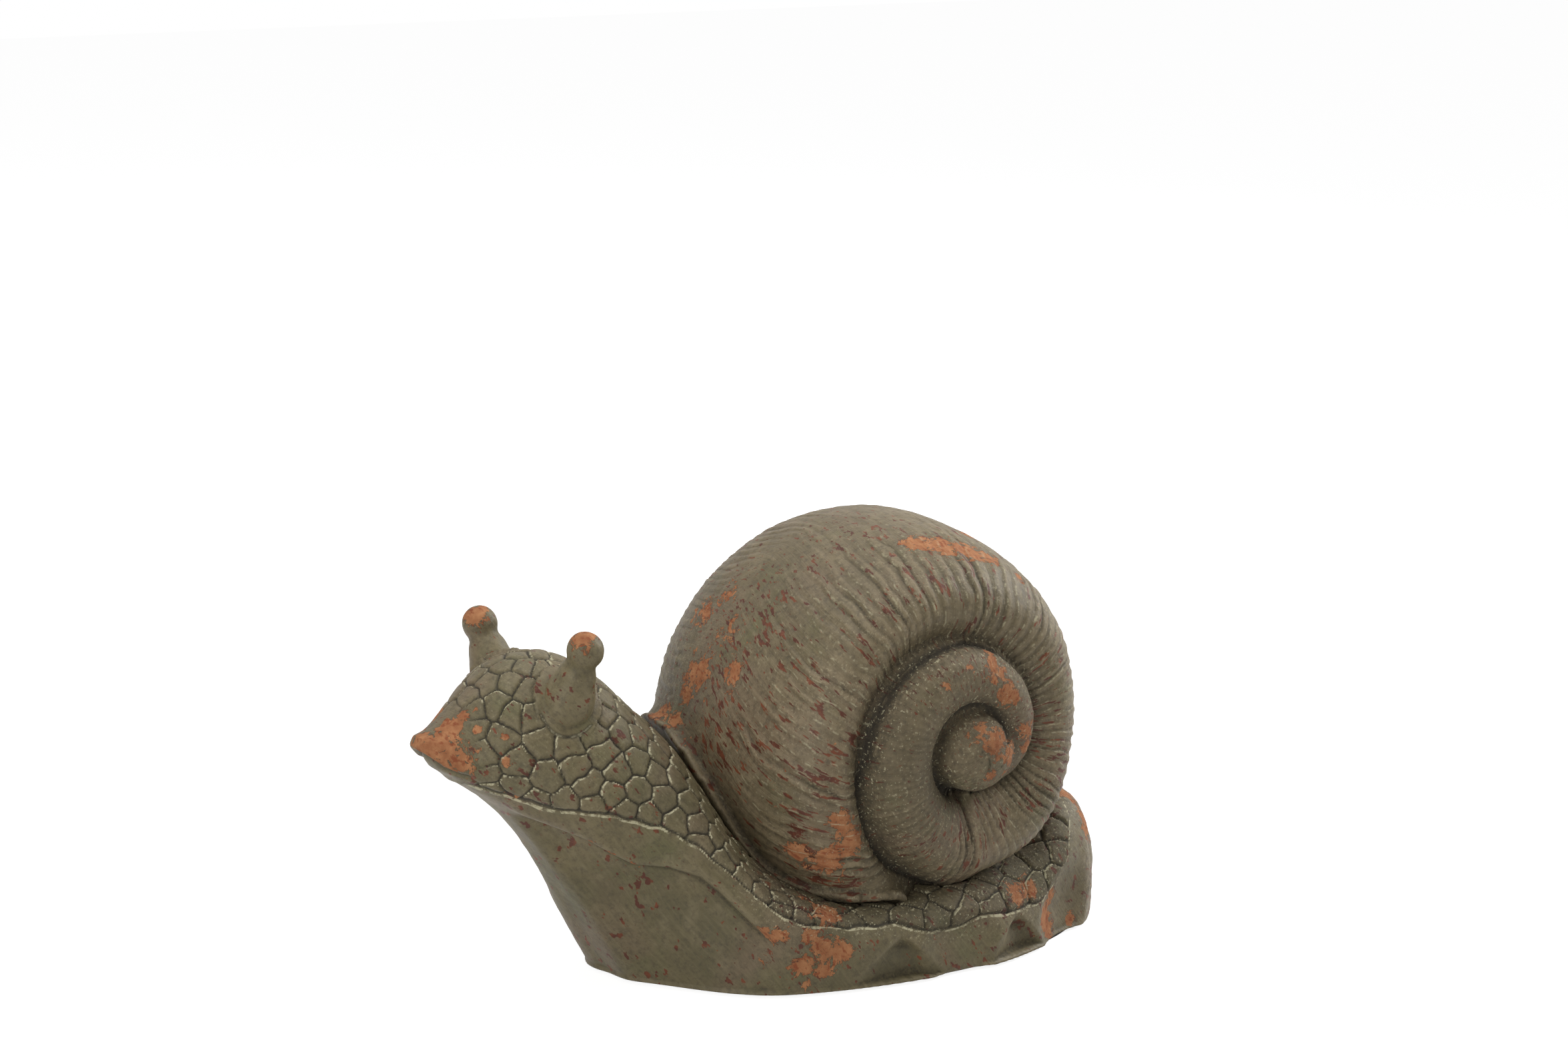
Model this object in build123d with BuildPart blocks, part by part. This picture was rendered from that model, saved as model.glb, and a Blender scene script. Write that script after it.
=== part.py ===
from build123d import *
import math
import os

os.makedirs("parts", exist_ok=True)

# Frame: head toward -X, spiral on the snail's left side at -Y, +Z up, Z = 0 on the ground.

# ---- shell -------------------------------------------------------------------
AXIS_X = 14.0            # the coil turns about a line along Y through this X
AXIS_Z = 104.0           # and this height
SHELL_FAR = 88.0         # depth of the shell toward +Y
SHELL_FLOOR = 24.0       # the shell stands on the foot at this height
SHELL_WALL = 10.0        # clay thickness of the shell

FIRST_TURN = -0.49       # the last whorl starts this part of a turn before the top
LAST_TURN = 0.47         # and ends at the mouth
# One row per station of the last whorl, evenly spaced over its turn:
# outer radius, seam radius, seam depth, crest radius, crest depth, squareness
BODY_WHORL = [
    (72.0, 26.0, -83.0, 49.5, -90.0, 2.8),
    (75.0, 28.0, -84.5, 50.5, -90.0, 2.6),
    (77.5, 31.5, -85.5, 52.0, -89.0, 2.25),
    (79.5, 34.0, -86.0, 53.5, -87.0, 2.0),
    (84.5, 36.5, -85.0, 57.0, -86.5, 2.0),
    (90.0, 40.0, -83.0, 60.0, -86.0, 2.0),
    (89.5, 43.5, -81.0, 62.0, -85.0, 2.0),
    (87.5, 46.5, -79.0, 63.0, -83.0, 2.0),
    (87.5, 47.5, -78.0, 63.5, -82.0, 2.0),
    (91.0, 48.3, -77.0, 65.0, -81.5, 2.0),
    (95.5, 50.5, -75.0, 67.5, -80.0, 2.0),
    (99.5, 56.5, -71.0, 72.0, -77.0, 2.0),
    (103.0, 65.0, -65.0, 78.0, -73.0, 2.0),
]
CORE_R = 78.0            # rounded middle of the shell that the last whorl wraps
CORE_X = 8.0
CORE_Z = 100.0

SECOND_FIRST = -1.39     # the second whorl starts at the round middle
SECOND_LAST = -0.465     # and ends let into the start of the last whorl
# One row per station of the second whorl, evenly spaced:
# inner radius, outer radius, crest depth, half thickness, tilt
SECOND_WHORL = [
    (9.0, 25.0, -92.5, 14.5, 6.0),
    (9.0, 31.5, -95.5, 17.0, 10.0),
    (9.5, 36.5, -97.0, 19.0, 12.5),
    (11.0, 41.3, -97.0, 20.5, 13.0),
    (12.5, 46.0, -96.8, 21.5, 13.0),
    (14.0, 49.0, -96.2, 23.0, 12.5),
    (16.0, 51.5, -94.8, 25.0, 11.0),
    (19.5, 58.5, -92.3, 28.0, 7.0),
    (25.0, 67.0, -88.6, 31.0, 2.0),
]

APEX_R = 20.5            # round start of the coil
APEX_X = AXIS_X + 3.0
APEX_Y = -81.0
APEX_Z = AXIS_Z - 3.5

OPENING_R = 42.0         # round opening from the foot up into the shell

# ---- lip: line over the shell's front, from the near foot over the neck to the far foot
LIP_PATH = [
    (-17.0, -76.0, 37.5),
    (-27.0, -75.5, 38.5),
    (-39.0, -69.0, 38.0),
    (-48.0, -57.5, 38.5),
    (-56.0, -45.0, 42.0),
    (-63.5, -35.5, 50.0),
    (-69.5, -29.0, 60.0),
    (-74.5, -23.0, 72.0),
    (-78.0, -15.0, 84.0),
    (-79.0, -5.0, 94.0),
    (-78.0, 8.0, 100.5),
    (-75.0, 24.0, 101.5),
    (-70.5, 38.0, 95.0),
    (-64.5, 47.0, 84.0),
    (-57.0, 53.0, 69.0),
    (-46.0, 56.5, 54.0),
    (-31.0, 60.0, 42.0),
    (-14.0, 62.0, 36.0),
]
LIP_R = 7.0              # at the top over the neck
LIP_END_R = 3.5          # at its ends on the foot
LIP_MID_R = 0.5 * (LIP_R + LIP_END_R)
# share of the way along the lip's line, and its radius there
LIP_SECTIONS = [(0.0, LIP_END_R), (0.28, LIP_MID_R), (0.5, LIP_R), (0.78, LIP_R), (1.0, LIP_END_R)]

# ---- body: one row per section across X --------------------------------------
# X, height of the middle below, (half width, height) up the side, height of the middle on top
BODY = [
    (-212.0, 114.5, [(2, 114.8), (4.2, 116), (5, 118), (4.6, 119.8), (3, 121.2), (1.5, 121.8)], 122.0),
    (-206.0, 107.5, [(6, 108), (10.5, 110), (12, 113.5), (11.5, 117.5), (8, 120.8), (4.5, 122.3)], 122.8),
    (-193.0, 97.0, [(9, 98), (17, 102), (22.5, 109), (21, 117), (15.5, 125), (8.5, 130.5)], 132.0),
    (-177.0, 85.0, [(12, 86.5), (25, 93), (33.5, 103), (31.5, 118), (24, 133), (13, 142.5)], 145.5),
    (-161.0, 67.0, [(14, 69.5), (26.5, 78), (42.5, 91), (41, 110), (32, 131), (17.5, 146)], 150.5),
    (-145.0, 42.0, [(15, 45), (29.5, 60), (48.5, 83), (46, 105), (35, 127), (18.5, 143)], 148.5),
    (-130.0, 15.0, [(17, 19), (32.5, 42), (52.5, 73), (50, 95), (39, 117), (20.5, 134)], 140.0),
    (-116.0, -8.0, [(20, -3), (37, 26), (57.5, 63), (55, 84), (42, 105), (21, 121)], 127.0),
    (-100.0, -26.0, [(33, -22), (54, 15), (65, 50), (62, 68), (46, 88), (23, 105)], 111.5),
    (-82.0, -26.0, [(54, -24), (71, 9), (77, 34), (70, 49), (48, 63), (24, 80)], 88.0),
    (-65.0, -26.0, [(63, -24), (79, 7), (84, 29), (76, 41), (52, 47), (27, 55)], 59.0),
    (-40.0, -26.0, [(71, -24), (86, 6), (89, 24), (81, 34), (57, 38), (28, 40)], 42.0),
    (-5.0, -26.0, [(77, -24), (91, 4), (92.5, 18), (87, 33), (64, 38), (32, 40)], 41.0),
    (30.0, -26.0, [(77, -24), (91, 5), (91, 19), (84, 34), (63, 42), (31, 46)], 48.0),
    (60.0, -26.0, [(71, -24), (83, 5), (83, 24), (76, 38), (58, 46), (29, 50)], 52.0),
    (85.0, -26.0, [(60, -24), (73, 5), (73, 33), (67, 51), (51, 60), (26, 63)], 64.0),
    (106.0, -26.0, [(45, -24), (58, 5), (59, 32), (52, 50), (38, 58), (19, 60)], 60.5),
    (119.0, -26.0, [(28, -24), (38, 5), (39, 27), (33, 42), (24, 49), (12, 52)], 53.0),
    (124.0, -26.0, [(18, -24), (25, 5), (25, 22), (21, 34), (15, 41), (7.5, 44)], 45.0),
]

# ---- scallops of the foot's edge: X, half width and height of the middle, lean, depth ----
SCALLOP_R = 52.0
SCALLOPS = [
    (-66.0, 83.0, 15.0, 8.0, 3.0),
    (9.0, 91.5, 14.0, 0.0, 4.8),
    (79.0, 75.0, 13.0, -24.0, 5.5),
]

# ---- underside ----------------------------------------------------------------
FELT_T = 1.5             # dark sheet under the foot
FELT_INSET = 2.0         # the sheet stops this far inside the edge
SLAB_T = 8.0             # clay slab that closes the foot
FOOT_WALL = 9.0          # clay left between the hollow foot and its outside
FOOT_TOP = SHELL_FLOOR - 8.0
VENT_R = 11.0            # vent hole through the slab and the felt
VENT_X = 40.0
# ground outline of the foot: X and half width
OUTLINE = [
    (-118.0, 0.0), (-114.0, 16.0), (-106.0, 32.0), (-92.0, 49.0), (-70.0, 65.0),
    (-40.0, 78.0), (-5.0, 85.0), (30.0, 85.0), (60.0, 78.0), (85.0, 68.0),
    (105.0, 53.0), (118.0, 32.0), (123.0, 0.0),
]
# hollow of the neck: X, Z and radius
NECK_HOLLOW = [(-66.0, 8.0, 30.0), (-110.0, 56.0, 26.0), (-134.0, 84.0, 20.0), (-147.0, 98.0, 12.0)]

# ---- eye stalks ----------------------------------------------------------------
STALK_ROOT_L = (-157.0, -23.0, 121.0)
STALK_BALL_L = (-151.5, -38.0, 157.5)
STALK_ROOT_R = (-155.0, 23.0, 121.0)
STALK_BALL_R = (-159.0, 38.0, 156.0)
EYE_R = 8.9
BALL_SPAN = 123.0        # degrees of the ball's outline, from its top down to the stalk
# radius of the stalk and distance from the ball's centre back to the root
STALK = [(7.5, 10.0), (7.3, 14.5), (8.2, 21.0), (10.6, 28.5), (10.0, 37.0)]


def coil_plane(turn):
    """Half plane through the coil's axis; local x runs outward, local y along +Y."""
    a = 2.0 * math.pi * turn
    out = (-math.sin(a), 0.0, math.cos(a))
    ahead = (-math.cos(a), 0.0, -math.sin(a))
    return Plane(origin=(AXIS_X, 0.0, AXIS_Z), x_dir=out, z_dir=ahead)


def ring(points):
    """Closed smooth curve whose points are spread evenly along its parameter."""
    steps = [k / len(points) for k in range(len(points) + 1)]
    vectors = [Vector(x, y) for x, y in points]
    return Edge.make_spline(vectors, periodic=True, parameters=steps)


def flank(r, crest_r, crest_y, square, share):
    """Depth of the near flank at a share of the way from the crest to the outer radius."""
    fall = (1.0 - share ** square) ** (1.0 / square)
    return (crest_r + share * (r - crest_r), crest_y * fall)


def body_whorl_points(row):
    """Closed outline of the last whorl at one station: radius and depth."""
    r, seam, depth, crest_r, crest_y, square = row
    f = SHELL_FAR
    return [
        (seam - 5.0, depth + 14.0),
        (seam + 1.0, depth + 2.5),
        (0.5 * (seam + crest_r), 0.3 * depth + 0.7 * crest_y),
        (crest_r, crest_y),
        flank(r, crest_r, crest_y, square, 0.45),
        flank(r, crest_r, crest_y, square, 0.75),
        flank(r, crest_r, crest_y, square, 0.93),
        (r, 0.02 * f),
        (0.95 * r, 0.33 * f),
        (0.80 * r, 0.61 * f),
        (0.55 * r, 0.845 * f),
        (0.30 * r, 0.965 * f),
        (0.17 * r, 0.93 * f),
        (0.20 * r, 0.62 * f),
        (0.36 * r, 0.20 * f),
        (0.36 * r, -0.25 * f),
    ]


def second_whorl_points(row):
    """Closed outline of the second whorl at one station: a leaning oval."""
    inner, outer, crest, half, tilt = row
    lean = math.radians(tilt)
    wide = 0.5 * (outer - inner) + 2.0
    points = []
    for k in range(12):
        a = 2.0 * math.pi * k / 12
        u = wide * math.cos(a)
        v = half * math.sin(a)
        x = 0.5 * (inner + outer) + u * math.cos(lean) - v * math.sin(lean)
        y = crest + half + u * math.sin(lean) + v * math.cos(lean)
        points.append((x, y))
    return points


def body_points(row):
    """Closed outline of the body at one section: Y and Z, both halves."""
    _, low, side, top = row
    right = [(y, z) for y, z in side]
    left = [(-y, z) for y, z in reversed(side)]
    return [(0.0, low)] + right + [(0.0, top)] + left


def outline_points(inset):
    """Ground outline of the foot, drawn in by the given distance."""
    mid = 0.5 * (OUTLINE[0][0] + OUTLINE[-1][0])
    half = 0.5 * (OUTLINE[-1][0] - OUTLINE[0][0])
    shrink = (half - inset) / half
    near = []
    for x, y in OUTLINE[1:-1]:
        near.append((mid + (x - mid) * shrink, y - inset))
    ends = [(mid - half * shrink, 0.0)]
    tail = [(mid + half * shrink, 0.0)]
    far = [(x, -y) for x, y in reversed(near)]
    return ends + near + tail + far


def neck_plane(x, z):
    """Section plane of the neck's hollow, square to its rise toward the head."""
    return Plane(origin=(x, 0.0, z), x_dir=(0, 1, 0), z_dir=(-0.72, 0, 0.69))


def scallop_place(x, half, z, lean, out):
    """Middle of the ball that hollows a scallop, out from the foot's side at that point."""
    a = math.radians(lean)
    side = math.copysign(1.0, half)
    return (x - out * math.sin(a), half + side * out * math.cos(a), z)


def stalk_place(ball, root):
    """Where a stalk goes: its ball's centre, with the stalk pointing away from its root."""
    up = (Vector(*ball) - Vector(*root)).normalized()
    side = up.cross(Vector(1, 0, 0)).normalized()
    return Plane(origin=ball, x_dir=side, z_dir=up).location


# ---- forms: closed solids that the pieces are cut from --------------------------
with BuildPart() as tube_form:
    for k, row in enumerate(BODY_WHORL):
        turn = FIRST_TURN + (LAST_TURN - FIRST_TURN) * k / (len(BODY_WHORL) - 1)
        with BuildSketch(coil_plane(turn)):
            with BuildLine():
                add(ring(body_whorl_points(row)))
            make_face()
    loft()
    split(bisect_by=Plane.XY.offset(SHELL_FLOOR), keep=Keep.TOP)

with BuildPart() as core_form:
    with Locations((CORE_X, 0, CORE_Z)):
        Sphere(CORE_R)
    split(bisect_by=Plane.XY.offset(SHELL_FLOOR), keep=Keep.TOP)

with BuildPart() as second_form:
    for k, row in enumerate(SECOND_WHORL):
        turn = SECOND_FIRST + (SECOND_LAST - SECOND_FIRST) * k / (len(SECOND_WHORL) - 1)
        with BuildSketch(coil_plane(turn)):
            with BuildLine():
                add(ring(second_whorl_points(row)))
            make_face()
    loft()

with BuildPart() as hollow_form:
    with Locations((CORE_X, 0, CORE_Z)):
        Sphere(CORE_R - SHELL_WALL)
    with BuildSketch(Plane.XY.offset(FOOT_TOP - 1.0)):
        with Locations((CORE_X, 0)):
            Circle(OPENING_R)
    extrude(amount=CORE_Z - FOOT_TOP)

# ---- last whorl: hollow, wrapped on the rounded middle --------------------------------
with BuildPart() as shell_body_whorl:
    add(tube_form.part)
    add(core_form.part)
    add(hollow_form.part, mode=Mode.SUBTRACT)

# ---- round start of the coil, luted on the rounded middle ------------------------------
with BuildPart() as shell_apex_whorl:
    with Locations((APEX_X, APEX_Y, APEX_Z)):
        Sphere(APEX_R)
    add(core_form.part, mode=Mode.SUBTRACT)
    add(tube_form.part, mode=Mode.SUBTRACT)

# ---- second whorl: a coil laid round the start, bedded on the last whorl ----------------
with BuildPart() as shell_second_whorl:
    add(second_form.part)
    with Locations((APEX_X, APEX_Y, APEX_Z)):
        Sphere(APEX_R, mode=Mode.SUBTRACT)
    add(core_form.part, mode=Mode.SUBTRACT)
    add(tube_form.part, mode=Mode.SUBTRACT)

# ---- lip: rolled rim laid on the shell over the neck ---------------------------------
with BuildPart() as shell_lip:
    with BuildLine() as lip_path:
        Spline(*LIP_PATH)
    for share, radius in LIP_SECTIONS:
        with BuildSketch(Plane(origin=lip_path.line @ share, z_dir=lip_path.line % share)):
            Circle(radius)
    sweep(path=lip_path.line, multisection=True)
    for share, radius in (LIP_SECTIONS[0], LIP_SECTIONS[-1]):
        with Locations(lip_path.line @ share):
            Sphere(radius)
    add(tube_form.part, mode=Mode.SUBTRACT)
    add(core_form.part, mode=Mode.SUBTRACT)

# ---- eye stalks -------------------------------------------------------------------------
with BuildPart() as stalk_form:
    with BuildSketch(Plane.XZ):
        with BuildLine():
            ball = CenterArc((0, 0), EYE_R, 90, -BALL_SPAN)
            side = [(r, -d) for r, d in STALK]
            Spline(ball @ 1, *side, tangents=[ball % 1, (0, -1)])
            foot = Line(side[-1], (0, side[-1][1]))
            Line(foot @ 1, ball @ 0)
        make_face()
    revolve(axis=Axis.Z)

with BuildPart() as eye_stalk_left:
    add(stalk_form.part.moved(stalk_place(STALK_BALL_L, STALK_ROOT_L)))

with BuildPart() as eye_stalk_right:
    add(stalk_form.part.moved(stalk_place(STALK_BALL_R, STALK_ROOT_R)))

# ---- body: hollow foot and neck, open below --------------------------------------------
with BuildPart() as body:
    for row in BODY:
        with BuildSketch(Plane.YZ.offset(row[0])):
            with BuildLine():
                add(ring(body_points(row)))
            make_face()
    loft()
    split(bisect_by=Plane.XY.offset(FELT_T), keep=Keep.TOP)
    for x, half, z, lean, depth in SCALLOPS:
        out = SCALLOP_R - depth
        with Locations(scallop_place(x, half, z, lean, out), scallop_place(x, -half, z, lean, out)):
            Sphere(SCALLOP_R, mode=Mode.SUBTRACT)
    add(eye_stalk_left.part, mode=Mode.SUBTRACT)
    add(eye_stalk_right.part, mode=Mode.SUBTRACT)
    for x, z, r in NECK_HOLLOW:
        with BuildSketch(neck_plane(x, z)):
            Circle(r)
    loft(mode=Mode.SUBTRACT)
    with BuildSketch(Plane.XY.offset(FELT_T)):
        with BuildLine():
            Spline(*outline_points(FOOT_WALL), periodic=True)
        make_face()
    extrude(amount=FOOT_TOP - FELT_T, mode=Mode.SUBTRACT)
    with BuildSketch(Plane.XY.offset(FOOT_TOP - 1.0)):
        with Locations((CORE_X, 0)):
            Circle(OPENING_R)
    extrude(amount=SHELL_FLOOR - FOOT_TOP + 2.0, mode=Mode.SUBTRACT)
    add(tube_form.part, mode=Mode.SUBTRACT)
    add(core_form.part, mode=Mode.SUBTRACT)
    add(second_form.part, mode=Mode.SUBTRACT)
    add(shell_lip.part, mode=Mode.SUBTRACT)

# ---- slab that closes the foot, with its vent hole ---------------------------------------
with BuildPart() as base_slab:
    with BuildSketch(Plane.XY.offset(FELT_T)):
        with BuildLine():
            Spline(*outline_points(FOOT_WALL), periodic=True)
        make_face()
        with Locations((VENT_X, 0)):
            Circle(VENT_R, mode=Mode.SUBTRACT)
    extrude(amount=SLAB_T)

# ---- sheet under the foot ------------------------------------------------------------------
with BuildPart() as felt_sheet:
    with BuildSketch():
        with BuildLine():
            Spline(*outline_points(FELT_INSET), periodic=True)
        make_face()
        with Locations((VENT_X, 0)):
            Circle(VENT_R, mode=Mode.SUBTRACT)
    extrude(amount=FELT_T)

# ---- one file per piece ----------------------------------------------------------------------
body.part.label = "body"
base_slab.part.label = "base_slab"
felt_sheet.part.label = "felt_sheet"
eye_stalk_left.part.label = "eye_stalk_left"
eye_stalk_right.part.label = "eye_stalk_right"
shell_lip.part.label = "shell_lip"
shell_body_whorl.part.label = "shell_body_whorl"
shell_second_whorl.part.label = "shell_second_whorl"
shell_apex_whorl.part.label = "shell_apex_whorl"
export_step(body.part, "parts/body.step")
export_step(base_slab.part, "parts/base_slab.step")
export_step(felt_sheet.part, "parts/felt_sheet.step")
export_step(eye_stalk_left.part, "parts/eye_stalk_left.step")
export_step(eye_stalk_right.part, "parts/eye_stalk_right.step")
export_step(shell_lip.part, "parts/shell_lip.step")
export_step(shell_body_whorl.part, "parts/shell_body_whorl.step")
export_step(shell_second_whorl.part, "parts/shell_second_whorl.step")
export_step(shell_apex_whorl.part, "parts/shell_apex_whorl.step")
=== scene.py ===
"""Looks of the snail figurine: painted and worn terracotta, carved head, ribbed coiled shell."""

import math

import bmesh
import bpy
import numpy as np
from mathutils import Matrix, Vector


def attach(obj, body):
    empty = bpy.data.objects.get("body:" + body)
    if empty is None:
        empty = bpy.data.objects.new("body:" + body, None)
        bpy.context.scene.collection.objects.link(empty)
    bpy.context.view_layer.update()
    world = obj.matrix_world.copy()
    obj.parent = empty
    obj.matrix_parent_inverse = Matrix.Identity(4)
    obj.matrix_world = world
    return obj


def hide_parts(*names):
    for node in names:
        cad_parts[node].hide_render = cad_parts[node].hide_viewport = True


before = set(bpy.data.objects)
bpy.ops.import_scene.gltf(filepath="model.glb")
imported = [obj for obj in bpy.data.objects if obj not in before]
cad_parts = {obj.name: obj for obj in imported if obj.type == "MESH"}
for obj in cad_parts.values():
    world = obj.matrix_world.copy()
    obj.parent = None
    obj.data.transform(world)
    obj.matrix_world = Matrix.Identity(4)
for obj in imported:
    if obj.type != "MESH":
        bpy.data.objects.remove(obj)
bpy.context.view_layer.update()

MM = 0.001
SEED = 7

# ---- sizes in mm, in the frame of the solids ------------------------------------
AXIS_X, AXIS_Z = 14.0, 104.0      # the coil turns about a line along Y through here
CORE = (8.0, 0.0, 100.0)          # middle of the shell
CORE_FILL_R = 69.0                # fills the shell's hollow, which nothing shows
SHELL_FLOOR = 24.0                # the shell stands on the foot at this height
HOLE_FILL_R = 42.6                # fills the round way up from the foot
FELT_T = 1.5                      # thickness of the felt sheet, on which the clay stands
SKIN_VOXEL = 0.90                 # mesh spacing of the carved clay
SHELL_VOXEL = 1.10
SMOOTH_ROUNDS = 5                 # of the new mesh, before it is carved

# seam between a turn of the coil and the turn inside it: turn, radius, depth
SEAM = [
    (-1.60, 9.0, -97.0), (-1.00, 17.0, -94.0), (-0.75, 20.0, -93.0), (-0.50, 24.5, -92.0),
    (-0.25, 32.5, -88.0), (0.00, 45.0, -84.0), (0.25, 52.0, -79.0), (0.40, 61.0, -72.0),
    (0.47, 68.0, -66.0),
]
LAST_WHORL_TURN = -0.53           # the last, largest whorl starts at this turn
FACE_Y = -45.0                    # the inner whorls stand out on this side
APEX_FADE = (-1.36, -1.24)        # turns over which the seam fades out at the round start
SEAM_END = 0.48                   # turn at which the seam meets the foot
FAR = 99.0                        # farther than anything here
SEAM_DEPTH = 1.7                  # of the groove along the seam
SEAM_HALF_WIDTH = 1.7
RIBS_PER_TURN = 72
RIB_HEIGHT = 1.5
RIB_SWEEP = (0.020, 0.115)        # turns that a rib falls back, at least and on top of that
LIP_CREST = 2.2                   # height of the lip's sharp outer edge
LIP_UNDERCUT = 1.6                # depth of the hollow under it

# middle of the rolled lip round the shell's mouth, and its radius at shares of the way
LIP_LINE = [
    (-17.0, -76.0, 37.5), (-39.0, -69.0, 38.0), (-48.0, -57.5, 38.5), (-56.0, -45.0, 42.0),
    (-63.5, -35.5, 50.0), (-69.5, -29.0, 60.0), (-74.5, -23.0, 72.0), (-78.0, -15.0, 84.0),
    (-79.0, -5.0, 94.0), (-78.0, 8.0, 100.5), (-75.0, 24.0, 101.5), (-70.5, 38.0, 95.0),
    (-64.5, 47.0, 84.0), (-57.0, 53.0, 69.0), (-46.0, 56.5, 54.0), (-31.0, 60.0, 42.0),
    (-14.0, 62.0, 36.0),
]
LIP_RADIUS = [(0.0, 3.5), (0.28, 5.25), (0.5, 7.0), (0.78, 7.0), (1.0, 3.5)]
SHELL_SIDE = (0.62, 0.0, 0.78)    # from the lip back over the shell

# lower border of the carved plates: X and height, the same on both sides
BORDER = [
    (-210.0, 103.0), (-196.0, 101.0), (-182.0, 96.0), (-168.0, 90.5), (-151.0, 89.0), (-136.0, 85.0),
    (-125.0, 81.0), (-119.0, 77.5), (-110.0, 72.0), (-103.0, 65.0), (-94.0, 55.0), (-84.0, 44.0),
    (-78.0, 39.0), (-69.0, 34.5), (-56.0, 32.0), (-42.0, 31.0), (-26.0, 29.5), (-8.0, 23.0),
    (9.0, 22.5), (20.0, 25.0), (38.0, 24.0), (60.0, 24.0), (72.0, 27.0), (80.0, 38.0),
    (90.0, 56.0), (98.0, 68.0), (130.0, 92.0),
]
# fold of the neck's skin below that border
FOLD = [
    (-185.0, 92.0), (-172.0, 84.5), (-160.0, 79.0), (-150.0, 74.0), (-142.0, 68.5), (-133.0, 63.0),
    (-120.0, 61.5), (-109.0, 57.5), (-102.0, 51.0), (-96.0, 43.5), (-89.0, 35.0), (-80.0, 28.0),
]
SCOOPS = [(-24.0, 25.0), (41.0, 23.0)]       # X of the middle and height of the point
MOUTH = [(-214.0, 115.5), (-209.0, 111.5), (-205.0, 108.0), (-199.0, 105.0), (-190.0, 103.0)]
STALKS = [  # root and ball centre of each eye stalk
    ((-157.0, -23.0, 121.0), (-151.5, -38.0, 157.5)),
    ((-155.0, 23.0, 121.0), (-159.0, 38.0, 156.0)),
]
STALK_R = 13.4                    # of the line where the stalk's clay meets the head

# relief of the skin: depths and heights
PLATE_CUT = 0.85                  # line between two plates
PLATE_CUT_HALF_WIDTH = 0.62
PLATE_DOME = 0.42
BORDER_CUT = 1.2
COLLAR_CUT = 0.7
FOLD_RISE = 1.7
FOLD_DIP = 5.0
SCOOP_DEPTH = 4.4
MOUTH_CUT = 2.6

# stretches along X
SNOUT_X = -198.0                  # no plates in front of here
TAIL_X = (90.0, 101.0)            # the plates end over this stretch
HEAD_END_X = -78.0                # cuts between the visual pieces of the skin
TAIL_START_X = 45.0
SLAB_RISE = 15.2 / 8.0            # stretches a copy of the slab up into the foot's wall


# ---- small tools -----------------------------------------------------------------
def linear(hex_colour):
    """sRGB hex to the linear colour that shaders take."""
    out = []
    for k in (0, 2, 4):
        c = int(hex_colour[k:k + 2], 16) / 255.0
        out.append(c / 12.92 if c <= 0.04045 else ((c + 0.055) / 1.055) ** 2.4)
    return (*out, 1.0)


def ease(x, low, high):
    """0 below low, 1 above high, smooth between."""
    t = np.clip((x - low) / (high - low), 0.0, 1.0)
    return t * t * (3.0 - 2.0 * t)


def hill(x, middle, width):
    """1 at the middle, fading on both sides over about the width."""
    return np.exp(-(((x - middle) / width) ** 2))


def unit(x):
    """Held between 0 and 1."""
    return np.clip(x, 0.0, 1.0)


def along(x, rows, column=1):
    """A column of a table of rows, read at x."""
    table = np.array(rows, float)
    return np.interp(x, table[:, 0], table[:, column])


def grain(p, size, seed=0):
    """Smooth random field from -1 to 1, its bumps about size mm wide."""
    q = p / size + 1000.0
    cell = np.floor(q).astype(np.uint64)
    f = q - np.floor(q)
    f = f * f * (3.0 - 2.0 * f)
    total = np.zeros(len(p))
    for corner in range(8):
        step = np.array([corner & 1, (corner >> 1) & 1, (corner >> 2) & 1], np.uint64)
        c = cell + step
        h = c[:, 0] * np.uint64(73856093) ^ c[:, 1] * np.uint64(19349663) ^ c[:, 2] * np.uint64(83492791)
        h = (h ^ np.uint64(SEED * 7919 + seed * 104729 + 17)) & np.uint64(0xFFFFFFFF)
        h = ((h ^ (h >> np.uint64(13))) * np.uint64(1274126177)) & np.uint64(0xFFFFFFFF)
        h = h ^ (h >> np.uint64(16))
        value = (h & np.uint64(0xFFFF)).astype(float) / 32767.5 - 1.0
        w = np.where(step.astype(bool), f, 1.0 - f).prod(axis=1)
        total += value * w
    return total


def rough(p, size, seed=0):
    """Three layers of grain, each half as wide and half as strong."""
    layers = grain(p, size, seed) + 0.5 * grain(p, size / 2, seed + 1) + 0.25 * grain(p, size / 4, seed + 2)
    return layers / 1.4


def to_line(p, path):
    """Distance of each point to a line of points, the share of the way along it, and the offset."""
    best = np.full(len(p), 1e9)
    where = np.zeros(len(p))
    offset = np.zeros_like(p)
    path = np.array(path, float)
    for k in range(len(path) - 1):
        a = path[k]
        d = path[k + 1] - a
        t = np.clip(((p - a) @ d) / (d @ d), 0.0, 1.0)
        away = p - a - t[:, None] * d
        gap = np.linalg.norm(away, axis=1)
        near = gap < best
        best[near] = gap[near]
        where[near] = (k + t[near]) / (len(path) - 1)
        offset[near] = away[near]
    return best, where, offset


# ---- clay bodies -------------------------------------------------------------------
def copy_of(name, target, low=0.0, stretch=(1.0, 1.0, 1.0)):
    """Adds a merged copy of a solid's mesh to the bmesh target, stretched from the height low."""
    part = bmesh.new()
    part.from_mesh(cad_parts[name].data)
    bmesh.ops.remove_doubles(part, verts=part.verts, dist=1e-6)
    for v in part.verts:
        v.co.x *= stretch[0]
        v.co.y *= stretch[1]
        v.co.z = low + (v.co.z - low) * stretch[2]
    mesh = bpy.data.meshes.new("part")
    part.to_mesh(mesh)
    part.free()
    target.from_mesh(mesh)
    bpy.data.meshes.remove(mesh)


def ball(target, place, radius):
    """Adds a ball that fills a hollow."""
    made = bmesh.ops.create_icosphere(target, subdivisions=4, radius=radius * MM)
    bmesh.ops.translate(target, verts=made["verts"], vec=Vector(place) * MM)


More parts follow.
